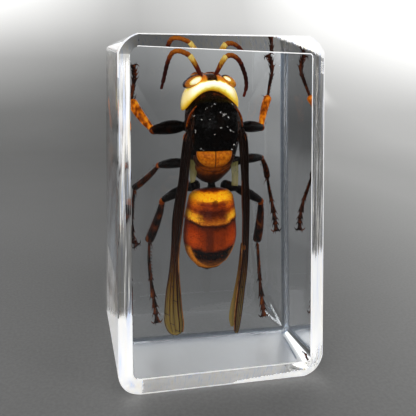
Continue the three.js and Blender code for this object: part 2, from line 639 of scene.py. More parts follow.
GASTER_FLANK = (
    (40.6, (0.10, 0.010, 0.001)), (40.1, (0.34, 0.036, 0.002)), (39.45, (0.78, 0.21, 0.004)),
    (38.95, (1.0, 0.43, 0.008)), (37.75, (0.95, 0.34, 0.006)), (37.05, (0.75, 0.18, 0.004)),
    (35.95, (0.50, 0.075, 0.002)), (35.45, (0.24, 0.028, 0.001)), (34.85, (0.50, 0.11, 0.004)),
    (34.35, (0.90, 0.38, 0.014)), (33.35, (1.0, 0.48, 0.020)), (32.95, (0.62, 0.20, 0.010)),
    (32.65, (0.10, 0.02, 0.002)), (32.4, (0.004, 0.002, 0.001)), (31.95, (0.12, 0.012, 0.001)),
    (30.4, (0.32, 0.032, 0.001)), (28.4, (0.42, 0.050, 0.002)), (27.2, (0.30, 0.03, 0.001)),
    (26.6, (0.05, 0.008, 0.001)), (26.2, (0.006, 0.002, 0.001)), (25.6, (0.42, 0.12, 0.007)),
    (24.4, (0.62, 0.20, 0.012)), (23.0, (0.40, 0.11, 0.008)), (22.3, (0.02, 0.006, 0.001)))
GASTER_LOW, GASTER_HIGH = 22.0, 41.0


def gaster_cuticle():
    """Banded hoops: yellow, orange, red-brown, black, orange tip, with painted light on the flanks and a
    painted glow on the side facing the lamps in place of their translucence.
    """
    shader = Shader("gaster_cuticle")
    z = shader.z
    across = abs(shader.x + 0.65)
    squared = across * across
    height = z - squared * 0.040 + shader.wobble(0.5, 3.0, 4) + shader.wobble(1.3, 0.6, 4)

    def rows(stops):
        return height.even(GASTER_LOW, GASTER_HIGH).ramp(
            [((z - GASTER_LOW) / (GASTER_HIGH - GASTER_LOW), color) for z, color in reversed(stops)])

    # The brighter flank colours are partly painted rim light along the sides
    uneven = across + shader.wobble(2.5, 1.1, 4) + z.span(27.2, 28.2, -1.3, 0.0)
    color = shader.mix(uneven.span(2.2, 4.6), rows(GASTER_MIDDLE), rows(GASTER_FLANK))
    rim = across.span(5.3, 6.0) * z.span(33.0, 34.5, 0.3, 0.75)
    color = shader.mix(rim, color, (0.36, 0.050, 0.002))
    # Orange edge band low on the gaster, partly painted rim light
    drop = (29.5 - z) * 0.133
    outward = squared * 0.0269 + drop * drop
    color = shader.mix(outward.span(0.68, 0.80) * z.span(28.4, 27.2), color, (0.62, 0.19, 0.012))
    color = shader.mix(z.span(23.2, 22.4), color, (0.012, 0.004, 0.001))
    grain = shader.noise(4.5, 3).ramp([(0.38, (0.50, 0.38, 0.32)), (0.5, WHITE), (0.64, (1.15, 1.2, 1.3))])
    color = shader.mix(1.0, color, grain, "MULTIPLY")
    beside, above = shader.x + 0.3, z - 37.2
    blotch = beside * beside + above * above * 0.5 + shader.noise(1.6, 4) * 1.6
    color = shader.mix(blotch.span(1.6, 0.9) * 0.85, color, (0.07, 0.008, 0.001))
    stripe = abs(shader.x + 1.6).span(1.3, 0.5) * z.span(32.8, 32.0) * z.span(26.5, 27.3)
    color = shader.mix(stripe * 0.75, color, (0.045, 0.006, 0.001))
    color = shader.mix(shader.noise(2.6, 3).span(0.62, 0.68) * 0.75, color, (0.16, 0.02, 0.002))
    # Painted glow, strongest on the side facing the lamps
    shader.glow(color, shader.y.span(-1.5, -5.0) * 0.5)
    shader.bump(shader.noise(2.2, 5), 0.35, 0.12)
    return shader.finish(color, shader.uneven(0.2, 0.36, 2.5), 0.015)


# ---------------------------------------------------------------- wings, and air with painted glints
def wing_membrane():
    """Folded fore wing: dark red-brown where layered, olive-amber film at the tip."""
    shader = Shader("wing_membrane")
    streaks = shader.noise(0.9, 4, (2.2, 2.2, 0.16))
    height = shader.z + (streaks - 0.5) * 9.0
    color = height.even(5.0, 55.0).ramp(
        [(0.0, (0.42, 0.29, 0.035)), (0.16, (0.34, 0.21, 0.022)), (0.28, (0.26, 0.12, 0.010)),
         (0.40, (0.07, 0.014, 0.002)), (0.56, (0.042, 0.0085, 0.0015)),
         (0.76, (0.012, 0.0028, 0.0008)), (1.0, (0.0022, 0.0008, 0.0004))])
    shader.bump(shader.noise(1.5, 4, (3, 3, 0.4)), 0.4, 0.1)
    return shader.finish(color, streaks.span(0.3, 0.7, 0.16, 0.36), 0.06,
                         Alpha=height.span(9.0, 30.0, 0.62, 0.97))


def hindwing_film():
    """Pale olive film of the folded hind wing."""
    shader = Shader("hindwing_film")
    color = shader.noise(0.8, 3, (2, 2, 0.3)).ramp([(0.35, (0.36, 0.32, 0.10)), (0.65, (0.55, 0.48, 0.18))])
    shader.bump(shader.noise(1.5, 3), 0.3, 0.08)
    return shader.finish(color, 0.3, 0.06, Alpha=0.55)


def wing_vein(name, deep, bright):
    """Wing ribs, from deep brown to amber along streaks, darker towards the wing base."""
    shader = Shader(name)
    tone = shader.noise(0.7, 4, (1, 1, 0.3)) + shader.z.span(33.0, 26.0, -0.32, 0.0)
    shader.bump(shader.noise(4, 3), 0.3, 0.05)
    return shader.finish(tone.ramp([(0.38, deep), (0.62, bright)]), 0.28, 0.08)


def silvery_air_glints():
    """Trapped air mirrors the lamps where it clings to the cuticle; its painted glow makes the glints."""
    shader = Shader("silvery_air_glints")
    tone = shader.noise(2.2, 3).span(0.35, 0.6, 0.35, 1.0)
    color = shader.mix(tone, (0.55, 0.5, 0.45), (1.0, 0.98, 0.95))
    # Painted glow: the specks shine as glints under any light
    shader.glow(color, 0.55)
    return shader.finish(color, 0.2, Metallic=0.6)


# ---------------------------------------------------------------- studio paper
RISE_TOP = 900
# About where the camera stands, for the painted shadow on the paper behind the block, seen through it
SIGHT_POINT = (-31.0, -117.0)
# The paper's painted glow, in place of the lamps' light on it, by its distance up the rise in mm: to the
# left, behind the block, to the right
GLOW_LEFT = ((30, 0.03), (82, 0.14), (155, 0.42), (218, 1.0), (250, 1.3), (300, 1.5), (900, 0.6))
GLOW_MIDDLE = ((30, 0.0), (82, 0.03), (120, 0.07), (155, 0.16), (218, 0.38), (275, 0.5), (360, 0.5),
               (560, 0.52), (900, 0.5))
GLOW_RIGHT = ((30, 0.02), (73, 0.15), (161, 0.72), (230, 1.1), (266, 1.5), (360, 1.9), (560, 1.6),
              (900, 0.9))


def sweep_material():
    """Studio paper with painted light from the upper left and the upper right, a painted pool of light to
    the right, painted shade to the left and in front, a painted shadow behind the block and a painted glow
    beneath it.
    """
    shader = Shader("studio_paper")
    x, y, z = shader.x, shader.y, shader.z
    rise = (z + y * 0.12) / RISE_TOP

    def column(levels):
        return rise.ramp([(distance / RISE_TOP, (level / 2,) * 3) for distance, level in levels])

    glow = shader.mix(x.even(-180, 60), column(GLOW_LEFT), column(GLOW_MIDDLE))
    glow = shader.mix(x.even(220, 480), glow, column(GLOW_RIGHT))
    wall = Field(shader, shader.node("ShaderNodeRGBToBW", {0: glow}).outputs[0])
    # Painted light: a glow on the floor towards the right and a pool of light on the paper to the right
    floor = (x.even(20, 150) * 0.2 + x.even(190, 300) * 0.1) * y.span(-120, -40) * z.span(320, 120)
    pool = x.span(215, 260) * x.span(300, 280) * z.span(25, 60) * z.span(125, 100, 0.0, 0.55)
    # Painted shade to the left, and a painted shadow in the wedge behind the block
    shaded = (x + y * 0.14 + 47.0).span(-60, -8, 0.4, 1.0)
    sight = (x - SIGHT_POINT[0]) / (y - SIGHT_POINT[1])
    behind = sight.span(0.07, 0.11) * sight.span(0.52, 0.46) * y.span(45, 75) * z.span(60, 25)
    shaded = shaded * behind.span(0, 1, 1.0, 0.74)
    # Painted glow beneath the block, in place of the light it gathers
    under = y.span(50, 30) * y.span(-25, -15) * abs(x).span(23.5, 20.5, 0.0, 0.045)
    strength = (wall * x.span(-330, -180, 0.9, 2.0) + floor + pool) * shaded + under
    color = shader.noise(0.01, 4).ramp([(0.3, (0.140, 0.140, 0.138)), (0.7, (0.160, 0.160, 0.158))])
    grain = shader.noise(1.3, 2).ramp([(0.35, (0.84,) * 3), (0.65, WHITE)])
    speckled_and_shaded = shader.mix(1.0, color, grain, "MULTIPLY")
    # Painted shade: the paper almost black in front, and the painted shade and shadow in its colour too
    speckled_and_shaded = shader.mix(y.span(-60, -200), speckled_and_shaded, (0.01, 0.01, 0.01))
    speckled_and_shaded = shader.mix(shaded, (0, 0, 0), speckled_and_shaded)
    shader.glow((1, 1, 0.985), strength)
    return shader.finish(speckled_and_shaded, 0.6)


# ================================================================ resin block
POLISHED, SCUFFED_GLOWING, WORN_GLOWING, SATIN_DIMMED = range(4)
BACK_ROUNDNESS = 0.83
SMALLEST_CUT = 0.3
CHAMFER_STEPS = 20
CHAMFER_CROWN = 0.03
EDGE_ROUND = 0.35
SIDE_STEPS = 8
SIDE_GAP = 0.1


def side_point(a, b, distance):
    """The point on the way from a to b that lies the given distance past a."""
    return blend_points(a, b, distance / math.dist(a, b))


def block_outline(corners, cuts, roundness, corner_steps=12, side_steps=40):
    """A four-sided outline in X and Z with its corners cut off and more or less rounded."""
    outline = []
    for i, corner in enumerate(corners):
        after = corners[(i + 1) % 4]
        start = side_point(corner, corners[i - 1], cuts[i])
        end = side_point(corner, after, cuts[i])
        pull = blend_points(blend_points(start, end, 0.5), corner, roundness[i])
        for step in range(corner_steps + 1):
            t = step / corner_steps
            outline.append(blend_points(blend_points(start, pull, t), blend_points(pull, end, t), t))
        target = side_point(after, corner, cuts[(i + 1) % 4])
        outline.extend(blend_points(end, target, step / side_steps) for step in range(1, side_steps))
    return outline


def outer_corners(inset=0.0):
    half = BLOCK_WIDTH / 2 - inset
    return [(half, inset), (half, BLOCK_HEIGHT - inset), (-half, BLOCK_HEIGHT - inset), (-half, inset)]


def chamfer_ring(share, depth):
    """One outline between the side faces (share 0) and the viewing face (share 1)."""
    corners = [blend_points(outer, inner, share) for outer, inner in zip(outer_corners(), VIEWING_CORNERS)]
    cuts = blend_points(OUTER_CUTS, VIEWING_CUTS, min(share, 1))
    return [(x, FRONT_Y + depth, z) for x, z in block_outline(corners, cuts, CORNER_ROUNDNESS)]


def side_ring(depth, inset=0.0):
    """One outline of the side faces; the corner cuts shrink towards the back."""
    along = depth / BLOCK_DEPTH
    cuts = [max(blend(cut, BACK_CUT, along) - inset, SMALLEST_CUT) for cut in OUTER_CUTS]
    roundness = [blend(value, BACK_ROUNDNESS, along) for value in CORNER_ROUNDNESS]
    return [(x, FRONT_Y + depth, z) for x, z in block_outline(outer_corners(inset), cuts, roundness)]


def finish_of(centre, ring):
    """Which finish a facet has, by its ring and its place on the block."""
    x, y, z = centre / MM
    # Scuffed crease and edge facets carry a painted glow that draws thin bright lines along the block
    if ring == "crease":
        return SCUFFED_GLOWING if x > -19 else POLISHED
    if ring == "edge":
        return SCUFFED_GLOWING if x > -21 or z > 66 or z < 17 else POLISHED
    if ring == "chamfer":
        return WORN_GLOWING
    if ring == "back":
        return SATIN_DIMMED
    return WORN_GLOWING if x < -22 and z < 22 and y < 17 else POLISHED


def block_rings():
    """The block's outlines from front to back, each with the kind of facets behind it."""
    rings = [("crease", chamfer_ring(1 + CREASE_WIDTH, 0.0)),
             ("chamfer", chamfer_ring(1 - CREASE_WIDTH, CREASE_WIDTH * FRONT_CHAMFER_DEPTH))]
    for step in range(1, CHAMFER_STEPS):
        share = (1 - CREASE_WIDTH) * (1 - step / CHAMFER_STEPS)
        depth = (1 - share) * FRONT_CHAMFER_DEPTH - CHAMFER_CROWN * 4 * share * (1 - share)
        rings.append(("chamfer" if step < CHAMFER_STEPS - 2 else "edge", chamfer_ring(share, depth)))
    for turn in (20, 45, 70, 90):
        angle = math.radians(turn)
        depth = FRONT_CHAMFER_DEPTH + EDGE_ROUND * (1 - math.cos(angle))
        inset = EDGE_ROUND * 0.3 * (1 - math.sin(angle))
        rings.append(("edge" if turn < 70 else "side", side_ring(depth, inset)))
    first = FRONT_CHAMFER_DEPTH + EDGE_ROUND + SIDE_GAP
    last = BLOCK_DEPTH - BACK_CHAMFER - SIDE_GAP
    for step in range(SIDE_STEPS + 1):
        rings.append(("side", side_ring(blend(first, last, step / SIDE_STEPS))))
    for turn in range(0, 91, 15):
        angle = math.radians(turn)
        depth = BLOCK_DEPTH - BACK_CHAMFER * (1 - math.sin(angle))
        rings.append(("back", side_ring(depth, BACK_CHAMFER * (1 - math.cos(angle)))))
    return rings


def resin_block(finishes):
    kinds, rings = zip(*block_rings())
    points, faces = loft(rings)
    points = [(x, y, min(max(z, 0.0), BLOCK_HEIGHT)) for x, y, z in points]
    faces = [tuple(reversed(face)) for face in faces]
    block = solid("resin_block_clear", points, faces, finishes[0], slot="clear_resin")
    block.data.set_sharp_from_angle(angle=math.radians(12))
    for finish in finishes[1:]:
        block.data.materials.append(finish)
    count = len(rings[0])
    for i, polygon in enumerate(block.data.polygons[:count * (len(rings) - 1)]):
        polygon.material_index = finish_of(polygon.center, kinds[i // count])
    block.visible_shadow = False
    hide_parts("resin_block")


def block_shade():
    """Dims lamp light where the clear block would dim it, and is never seen itself."""
    shader = Shader("block_shade")
    tone = shader.noise(0.05, 2).ramp([(0.3, (0.50,) * 3), (0.7, (0.56,) * 3)])
    clear = shader.node("ShaderNodeBsdfTransparent", {"Color": tone})
    shader.put(shader.output["Surface"], clear.outputs[0])
    half, low, high = BLOCK_WIDTH / 2 - 0.6, 1.0, BLOCK_HEIGHT - 1
    rings = [[(-half, y, low), (half, y, low), (half, y, high), (-half, y, high)]
             for y in (FRONT_Y + 3, BACK_Y - 1.2)]
    shade = solid("block_shade", *loft(rings), shader.material, body=None, smooth=False)
    for ray in ("camera", "diffuse", "glossy", "transmission", "volume_scatter"):
        setattr(shade, "visible_" + ray, False)


# ================================================================ hornet: head
SIDES = ((-1, "left"), (1, "right"))
HEAD_X = -0.9
HEAD_HALF_WIDTH = 6.72
HEAD_DEPTH_MIDDLE = -1.5
HEAD_HALF_DEPTH = 5.4


def head_middle(x):
    """Height of the arched head's middle line, x measured from its centre."""
    return 64.75 - 0.116 * x * x


def head_taper(x, power):
    """1 in the middle of the head, almost 0 at its ends."""
    return (1 - (abs(x) / (HEAD_HALF_WIDTH + 0.02)) ** power) ** 0.5


def head_capsule(material, steps=54, count=64):
    """The crescent of vertex and temples, arched over the front of the thorax."""
    rings = []
    for i in range(1, steps):
        x = -HEAD_HALF_WIDTH * math.cos(math.pi * i / steps)
        half_height = (1.9 + 0.6 * (x / 5) ** 2) * head_taper(x, 7)
        half_depth = HEAD_HALF_DEPTH * head_taper(x, 2.6)
        ring = []
        for j in range(count):
            turn = TAU * j / count
            forward = signed_power(math.sin(turn), 0.8)
            bulge = 0.1 * max(forward, 0) * (1 - (x / HEAD_HALF_WIDTH) ** 2)
            ring.append((HEAD_X + x, HEAD_DEPTH_MIDDLE + half_depth * signed_power(math.cos(turn), 0.7),
                         head_middle(x) + half_height * forward + bulge))
        rings.append(ring)
    solid("head_capsule", *loft(rings), material, slot="amber_cuticle")


def tilted_ball(centre, radii, turn, **options):
    """An ellipsoid turned about the Y axis by some degrees."""
    cos, sin = math.cos(math.radians(turn)), math.sin(math.radians(turn))

    def shape(unit):
        x, y, z = (r * u for r, u in zip(radii, unit))
        return (centre[0] + x * cos - z * sin, centre[1] + y, centre[2] + x * sin + z * cos)

    return ball(centre, radii, shape=shape, **options)


# Side, centre, radii, tilt, and the painted highlight's centre and radii along the tilted oval
EYES = (("left", (-4.3, -3.8, 65.0), (2.4, 3.2, 1.2), 27, (0.35, -0.02), (1.5, 0.66)),
        ("right", (4.0, -3.8, 65.0), (1.95, 3.2, 1.12), -37, (-0.95, 0.05), (0.8, 0.38)))


def compound_eyes(eye_material, rim_material):
    for side, (offset, y, z), radii, turn, _, _ in EYES:
        x = HEAD_X + offset
        rim = (radii[0] + 0.07, radii[1] - 0.15, radii[2] + 0.07)
        solid(f"{side}_eye_rim", *tilted_ball((x, y + 0.15, z), rim, turn), rim_material)
        solid(f"{side}_compound_eye", *tilted_ball((x, y - 0.05, z), radii, turn), eye_material,
              slot="amber_cuticle")


def ocelli(bead_material):
    beads = (("middle", -1.1, -5.9, 66.0), ("left", -1.7, -6.5, 65.5), ("right", -0.5, -6.5, 65.5))
    for name, x, y, z in beads:
        solid(f"ocellus_{name}", *ball((x, y, z), (0.27, 0.24, 0.27), 12, 16), bead_material)


def beside_head(side, points):
    """Points on one side of the head, x measured outwards from its middle."""
    return [(HEAD_X + side * x, y, z) for x, y, z in points]


def mouthparts(amber, brown):
    """Clypeus and jaws on the front of the head, seen from above and the sides."""
    solid("clypeus", *ball((HEAD_X, 1.2, 65.6), (2.5, 2.9, 1.35)), amber, slot="amber_cuticle")
    solid("labrum", *ball((HEAD_X, 3.3, 66.2), (1.3, 0.8, 0.7), 16, 24), brown)
    for side, name in SIDES:
        jaw = beside_head(side, ((3.0, 2.0, 65.0), (2.9, 3.6, 65.9), (2.0, 4.9, 66.6), (0.5, 5.6, 66.9)))
        solid(f"{name}_mandible", *tube(jaw, (1.1, 1.05, 0.85, 0.35), flatten=0.75), amber,
              slot="amber_cuticle")
        teeth = [spine(*beside_head(side, ((x, y, 66.8), (x - 0.55, y + 0.25, 67.0))), 0.2)
                 for x, y in ((0.9, 5.5), (1.35, 5.2), (1.8, 4.8))]
        solid(f"{name}_mandible_teeth", *join(teeth), brown)
        palp = beside_head(side, ((1.4, 3.6, 64.6), (1.9, 4.7, 64.9), (1.5, 5.6, 65.6)))
        solid(f"{name}_palp", *tube(palp, (0.22, 0.2, 0.12), 10), amber, slot="amber_cuticle")


# Each antenna: base, scape end, then the flagellum's curve to its tip
ANTENNAE = {
    "left": ([(-3.3, -4.2, 66.0), (-4.1, -5.0, 67.5), (-5.1, -5.5, 69.2), (-6.1, -5.9, 70.6)],
             [(-6.3, -5.9, 70.8), (-7.4, -6.0, 71.35), (-8.6, -6.0, 71.7), (-9.8, -5.5, 71.5),
              (-10.5, -4.6, 70.5), (-10.95, -3.5, 69.0), (-11.25, -2.5, 67.3), (-11.55, -1.6, 65.5),
              (-12.0, -1.0, 63.4)]),
    "right": ([(-0.1, -4.2, 66.3), (0.5, -5.0, 67.7), (1.2, -5.5, 69.2), (2.0, -5.9, 70.5)],
              [(2.3, -5.9, 70.7), (3.3, -6.0, 70.85), (4.5, -5.6, 70.4), (5.6, -4.9, 69.4),
               (6.4, -4.2, 68.0), (7.1, -3.4, 66.6), (7.6, -2.5, 65.1), (7.8, -1.7, 63.6),
               (7.4, -1.0, 61.6)]),
}
FLAGELLUM_SEGMENTS = 11


def antennae(scape_material, flagellum_material):
    for name, (scape, curve) in ANTENNAE.items():
        solid(f"{name}_scape", *tube(scape, (0.46, 0.54, 0.62, 0.66)), scape_material,
              slot="amber_cuticle")
        solid(f"{name}_pedicel", *ball(curve[0], (0.5, 0.5, 0.5), 14, 20), flagellum_material)
        fine = smooth_row(curve, 24)
        links = []
        span = (len(fine) - 1) / FLAGELLUM_SEGMENTS
        for i in range(FLAGELLUM_SEGMENTS):
            start, end = round(i * span), round((i + 1) * span)
            stretch = [fine[start], fine[(start + end) // 2], fine[end]]
            width = 0.62 - 0.017 * i - (0.1 if i == FLAGELLUM_SEGMENTS - 1 else 0)
            links.append(tube(stretch, (width * 0.82, width, width * 0.95), 16, 4))
        solid(f"{name}_flagellum", *join(links), flagellum_material)


# ================================================================ hornet: thorax
# height, centre x, half width, dorsal y, ventral y
THORAX = ((63.0, -0.9, 1.6, -3.4, -1.0), (62.4, -0.9, 3.0, -4.6, 1.0), (61.4, -0.8, 4.3, -5.8, 2.6),
          (60.2, -0.6, 5.4, -7.0, 3.6), (58.0, -0.4, 6.0, -7.6, 4.4), (55.0, -0.2, 6.3, -8.0, 4.9),
          (52.0, -0.1, 6.2, -8.0, 5.0), (50.0, -0.2, 5.9, -7.2, 4.8), (47.5, -0.4, 5.5, -6.0, 4.4),
          (45.0, -0.5, 4.7, -4.6, 3.8), (43.4, -0.6, 3.5, -3.5, 3.0), (42.3, -0.6, 2.3, -2.7, 2.2),
          (41.8, -0.6, 1.2, -2.1, 0.8))

SCUTUM = ((61.3, -0.85, 2.4, -5.9, -3.0), (60.9, -0.8, 3.4, -6.9, -2.6), (60.0, -0.6, 4.4, -7.9, -2.0),
          (58.2, -0.4, 5.35, -8.6, -2.0), (55.2, -0.3, 5.55, -9.0, -2.0), (52.4, -0.3, 5.4, -8.8, -2.0),
          (50.6, -0.4, 5.0, -8.2, -2.4), (49.6, -0.5, 4.5, -7.5, -3.0), (49.2, -0.5, 3.9, -6.8, -3.6))
PRONOTUM = ((62.6, -0.9, 2.6, -4.6, 0.5), (61.9, -0.85, 3.9, -5.6, 1.8), (60.3, -0.6, 5.4, -7.1, 2.9),
            (58.2, -0.4, 6.25, -7.6, 3.2), (56.0, -0.25, 6.5, -7.4, 3.0), (54.4, -0.2, 6.45, -6.8, 2.4),
            (53.4, -0.15, 6.2, -5.8, 1.6))
SCUTELLUM = ((49.75, -0.55, 3.4, -6.6, -4.4), (49.5, -0.55, 3.95, -7.3, -4.2),
             (48.9, -0.55, 4.1, -7.65, -4.0), (48.0, -0.55, 3.95, -7.7, -4.0),
             (47.1, -0.55, 3.5, -7.5, -4.0), (46.4, -0.55, 2.85, -7.2, -4.0),
             (45.85, -0.55, 1.95, -6.8, -4.2), (45.55, -0.55, 0.9, -6.4, -4.6))
METANOTUM = ((48.4, -0.55, 4.75, -6.2, -3.8), (47.3, -0.55, 4.6, -6.6, -3.6), (46.3, -0.55, 4.1, -6.6, -3.5),
             (45.5, -0.55, 3.3, -6.4, -3.5), (44.95, -0.55, 2.3, -6.1, -3.6), (44.7, -0.55, 1.2, -5.7, -3.8))
PROPODEUM = ((46.6, -0.55, 5.1, -5.2, 2.4), (45.6, -0.55, 4.9, -5.4, 2.4), (44.6, -0.55, 4.3, -5.3, 2.2),
             (43.6, -0.6, 3.4, -4.7, 2.0), (42.7, -0.65, 2.4, -3.9, 1.6), (42.0, -0.7, 1.6, -3.1, 0.8))


def body_piece(stations, steps=6, warp=tuple):
    """A skin over body sections, each point moved by warp."""
    return loft([[warp(point) for point in body_ring(*row)] for row in smooth_row(stations, steps)])


def grooves(point):
    """Two faint lengthwise furrows in the mesoscutum, and a slight unevenness."""
    x, y, z = point
    for furrow, lean in ((-2.3, -0.04), (1.7, 0.04)):
        y += 0.16 * math.exp(-((x - furrow - (z - 55) * lean) / 0.22) ** 2)
    return x, y + 0.08 * noise.noise(Vector(point) * 0.7), z


def seam(point):
    """The furrow down the middle of the scutellum."""
    x, y, z = point
    return x, y + 0.22 * math.exp(-((x + 0.45) / 0.2) ** 2) * (y < -5), z


def thorax(black, brown, joint, rear, shield):
    solid("thorax_side_plates", *body_piece(THORAX), brown)
    solid("pronotum", *body_piece(PRONOTUM), brown)
    solid("mesoscutum", *body_piece(SCUTUM, 10, grooves), black)
    solid("scutellum", *body_piece(SCUTELLUM, warp=seam), shield, slot="amber_cuticle")
    solid("metanotum", *body_piece(METANOTUM), rear, slot="amber_cuticle")
    solid("propodeum", *body_piece(PROPODEUM), rear)
    waist = [(-0.65, -1.6, 42.6), (-0.5, -1.8, 41.6), (-0.5, -1.9, 40.2)]
    solid("petiole", *tube(waist, (1.0, 0.85, 1.15), 20), black)
    for (side, name), x in zip(SIDES, (-6.6, 6.5)):
        solid(f"{name}_tegula", *tilted_ball((x, -4.6, 52.4), (0.95, 1.0, 1.35), side * 14), joint,
              slot="amber_cuticle")
        rim = [(side * 4.3 - 0.55, -7.2, 59.6), (side * 5.3 - 0.45, -6.6, 58.4),
               (side * 6.1 - 0.3, -5.6, 56.6), (side * 6.5 - 0.25, -4.6, 54.8)]
        solid(f"{name}_pronotum_rim", *tube(rim, (0.08, 0.22, 0.28, 0.14), 10), joint,
              slot="amber_cuticle")


# ================================================================ hornet: gaster
GASTER = ((40.8, -0.45, 1.1, -2.9, -0.6), (40.5, -0.45, 2.8, -3.7, 0.6), (40.1, -0.5, 4.0, -4.3, 1.7),
          (39.0, -0.5, 5.05, -5.1, 2.9), (37.7, -0.5, 5.35, -5.5, 3.5), (35.4, -0.55, 5.7, -5.9, 4.1),
          (33.3, -0.65, 5.95, -6.1, 4.4), (30.7, -0.7, 6.15, -6.2, 4.5), (28.4, -0.75, 6.1, -6.0, 4.4),
          (26.0, -0.9, 5.45, -5.4, 4.0), (24.2, -0.95, 4.15, -4.4, 3.2), (22.9, -1.1, 2.6, -3.1, 2.1),
          (22.2, -1.35, 1.2, -2.0, 1.0), (21.95, -1.4, 0.4, -1.2, 0.2))
GASTER_FINE = smooth_row(GASTER, 12)
# Name, top, bottom, how far the rear rim stands out, and how far it sags
GASTER_SEGMENTS = (("gaster_segment_1", 40.8, 33.2, 0.16, 1.5), ("gaster_segment_2", 34.4, 27.4, 0.12, 1.4),
                   ("gaster_segment_3", 28.4, 24.3, 0.08, 0.9), ("gaster_segment_4", 25.4, 22.9, 0.05, 0.5),
                   ("gaster_segment_5", 24.0, 21.97, 0.02, 0.1))


def gaster_segment(name, top, bottom, lift, curve, material, steps=22):
    """One hoop of the gaster. Its rear rim stands out by lift and sags by curve."""

    def hoop(share, extra, shift=0.0):
        z, x, half, dorsal, ventral = section_at(GASTER_FINE, blend(top, bottom, share))
        ring = body_ring(z, x, max(half + extra, 0.2), dorsal - extra, ventral + extra, 2.1, 72)
        return [(px, py, pz + curve * share * (((px - x) / 6.0) ** 2 - 0.55) + shift) for px, py, pz in ring]

    rings = [hoop(0.0, -0.9), hoop(0.0, -0.3)]
    rings.extend(hoop(i / steps, lift * (i / steps) ** 3) for i in range(steps + 1))
    rings.extend((hoop(1.0, lift * 0.7, -0.07), hoop(1.0, -0.25, -0.03), hoop(1.0, -1.0, 0.15)))
    solid(name, *loft(rings), material, slot="amber_cuticle")


def gaster(material, dark):
    for segment in GASTER_SEGMENTS:
        gaster_segment(*segment, material)
    solid("sting_sheath", *tube([(-1.35, -0.3, 22.4), (-1.4, -0.1, 21.7)], (0.3, 0.12), 10), dark)


# ================================================================ hornet: wings
LEFT_OUTER = ((-6.3, -5.4, 54.4), (-7.5, -5.4, 52.2), (-8.1, -5.0, 47.5), (-8.5, -4.5, 43.0),
              (-9.3, -4.0, 38.5), (-9.9, -3.5, 33.9), (-10.1, -3.0, 27.1), (-10.5, -2.5, 22.5),
              (-11.2, -2.0, 17.9), (-11.6, -2.0, 13.5), (-11.6, -2.0, 10.6), (-10.7, -2.0, 8.5),
              (-9.6, -2.0, 7.8))
LEFT_INNER = ((-5.4, -5.6, 54.0), (-5.5, -5.6, 52.0), (-6.0, -5.4, 47.5), (-6.4, -5.0, 43.0),
              (-7.0, -4.6, 38.5), (-7.6, -4.4, 33.9), (-8.4, -4.0, 27.1), (-8.4, -3.4, 22.5),
              (-8.0, -2.8, 17.9), (-7.6, -2.5, 13.4), (-7.2, -2.3, 10.4), (-7.4, -2.1, 8.3),
              (-8.8, -2.0, 7.6))
RIGHT_OUTER = ((6.2, -5.4, 54.2), (7.2, -5.4, 51.8), (7.55, -5.0, 47.1), (7.7, -4.5, 42.5),
               (8.05, -4.0, 37.8), (8.1, -3.5, 33.1), (8.0, -3.0, 26.1), (7.8, -2.5, 21.4),
               (7.3, -2.0, 16.7), (6.7, -2.0, 12.1), (6.1, -2.0, 8.6), (5.7, -2.0, 7.2),
               (5.4, -2.0, 6.9))
RIGHT_INNER = ((5.2, -5.6, 53.9), (5.2, -5.6, 51.8), (5.6, -5.4, 47.1), (6.0, -5.0, 42.5),
               (6.1, -4.6, 37.8), (6.3, -4.4, 33.1), (6.2, -4.0, 26.1), (5.9, -3.4, 21.4),
               (5.3, -2.8, 16.7), (4.8, -2.5, 12.1), (4.7, -2.3, 9.2), (4.75, -2.1, 7.6),
               (5.0, -2.0, 6.9))
RIGHT_LOBE_OUTER = ((6.6, -3.6, 28.0), (6.4, -3.2, 22.0), (6.0, -2.6, 17.0), (5.4, -2.4, 12.4),
                    (4.9, -2.3, 9.6), (4.4, -2.2, 8.5))
RIGHT_LOBE_INNER = ((6.1, -3.6, 28.0), (5.5, -3.2, 22.0), (4.7, -2.6, 17.0), (3.7, -2.4, 12.6),
                    (3.5, -2.3, 10.4), (3.9, -2.2, 8.6))
HINDWING_BASES = (
    ("left", ((-6.0, -3.9, 47.5), (-5.9, -3.7, 44.5), (-5.6, -3.2, 42.0)),
     ((-4.4, -3.9, 47.2), (-4.2, -3.7, 44.8), (-4.6, -3.2, 42.4))),
    ("right", ((5.4, -3.9, 46.8), (5.5, -3.7, 43.8), (5.5, -3.2, 41.0)),
     ((3.6, -3.9, 46.4), (3.9, -3.7, 43.6), (4.0, -3.2, 41.2))))
# Each long rib: its share of the way to the inner edge, its width, and how far it stops short of the tip
RIBS = ((0.04, 0.16, 0), (0.3, 0.13, 1), (0.52, 0.12, 1), (0.78, 0.3, 1), (0.93, 0.14, 0))
RIB_GAPS = ((0.04, 0.3), (0.3, 0.52), (0.52, 0.78))
WING_THICKNESS = 0.07


def sheet(outer, inner, pleats, depth, across=30, steps=8, ragged=0.0):
    """A closed thin sheet between two edges, pleated lengthwise."""
    outer_fine, inner_fine = smooth_row(outer, steps), smooth_row(inner, steps)
    last = len(outer_fine) - 1
    rings = []
    for i, (a, b) in enumerate(zip(outer_fine, inner_fine)):
        along = i / last
        flat = min(1.0, 6 * (1 - along)) * min(1.0, 8 * along + 0.3)
        row = []
        for j in range(across + 1):
            t = j / across
            fold = abs((t * pleats) % 1 - 0.5) * 2 - 0.5
            x, y, z = blend_points(a, b, t)
            y -= depth * fold * flat
            y += 0.1 * noise.noise(Vector((x, y, z)) * 0.45)
            if i == last:
                z += ragged * noise.noise(Vector((x * 3, 1, 2)))
            row.append((x, y, z))
        front = [(x, y - WING_THICKNESS / 2, z) for x, y, z in row]
        back = [(x, y + WING_THICKNESS / 2, z) for x, y, z in reversed(row)]
        rings.append(front + back)
    return loft(rings)


